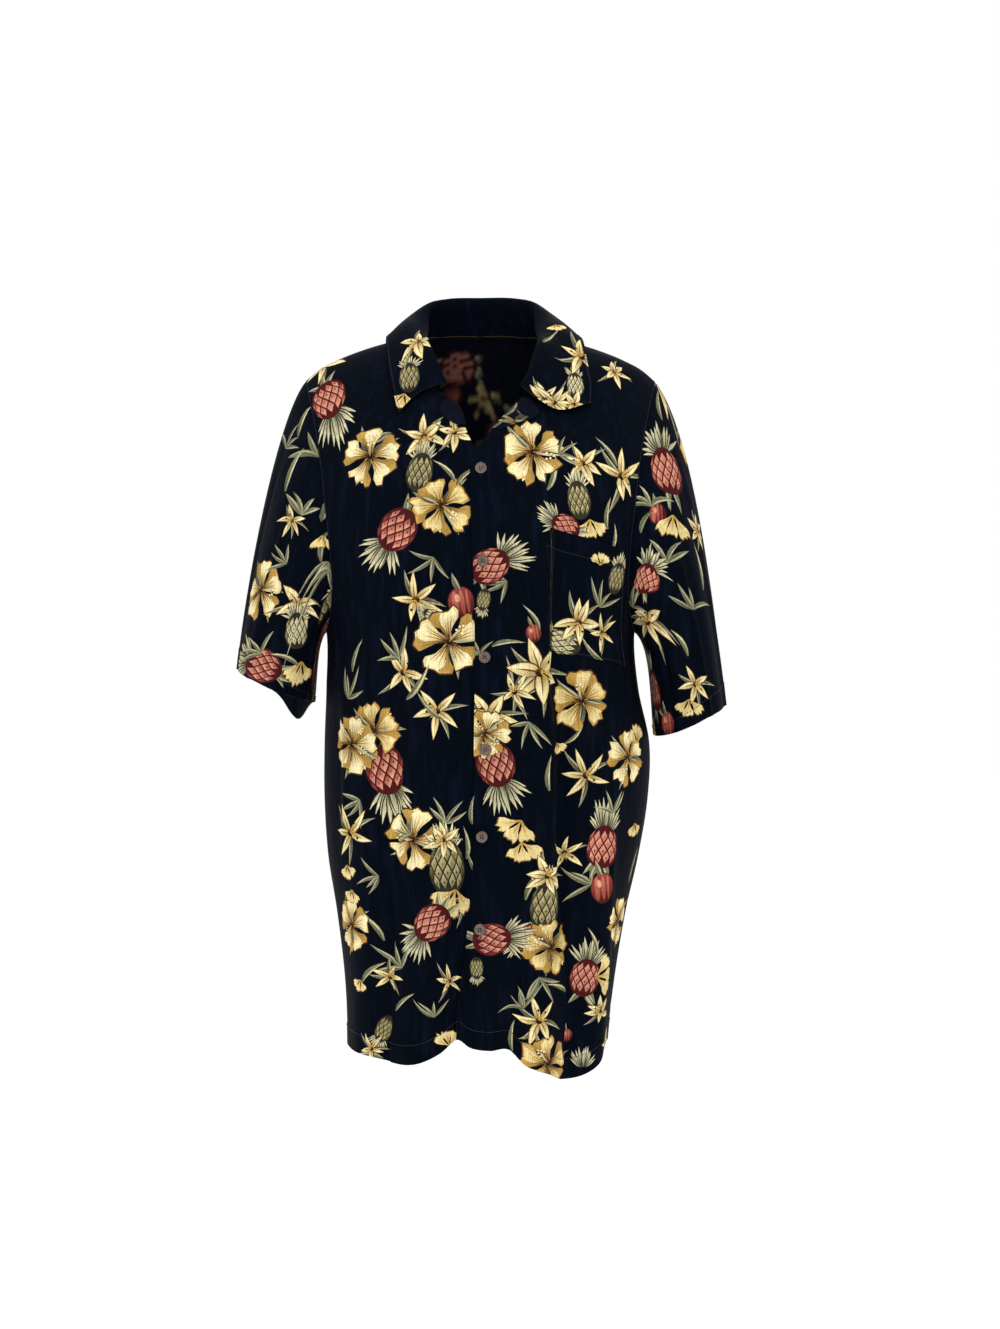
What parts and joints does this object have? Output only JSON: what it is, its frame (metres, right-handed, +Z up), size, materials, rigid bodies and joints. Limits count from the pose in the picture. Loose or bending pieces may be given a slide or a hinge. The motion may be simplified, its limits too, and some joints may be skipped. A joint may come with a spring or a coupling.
{
  "type": "hawaiian shirt",
  "caption": "Short-sleeved button-front shirt with an open camp collar, chest pocket and tropical flower and fruit print, filled out as when worn.",
  "frame": {"origin": "inside the neck opening on the shirt's middle line, near the height of the shoulder seams at the neck, where a neck or stand holds it", "axes": "+X towards the shirt's own left side, +Y towards its back, +Z up; the buttoned front faces -Y"},
  "size_m": [0.5254, 0.2487, 0.8344],
  "materials": {
    "printed_cloth": "matt woven cloth, near-black navy with a printed flower and fruit repeat",
    "button_brown": "satin brown four-hole buttons"
  },
  "bodies": {
    "root": {"back": "printed_cloth", "front_left": "printed_cloth", "front_right": "printed_cloth", "sleeve_left": "printed_cloth", "sleeve_right": "printed_cloth", "collar": "printed_cloth", "facing_left": "printed_cloth", "facing_right": "printed_cloth", "pocket": "printed_cloth", "button_1": "button_brown", "button_2": "button_brown", "button_3": "button_brown", "button_4": "button_brown", "button_5": "button_brown", "button_6": "button_brown"}
  },
  "joints": []
}
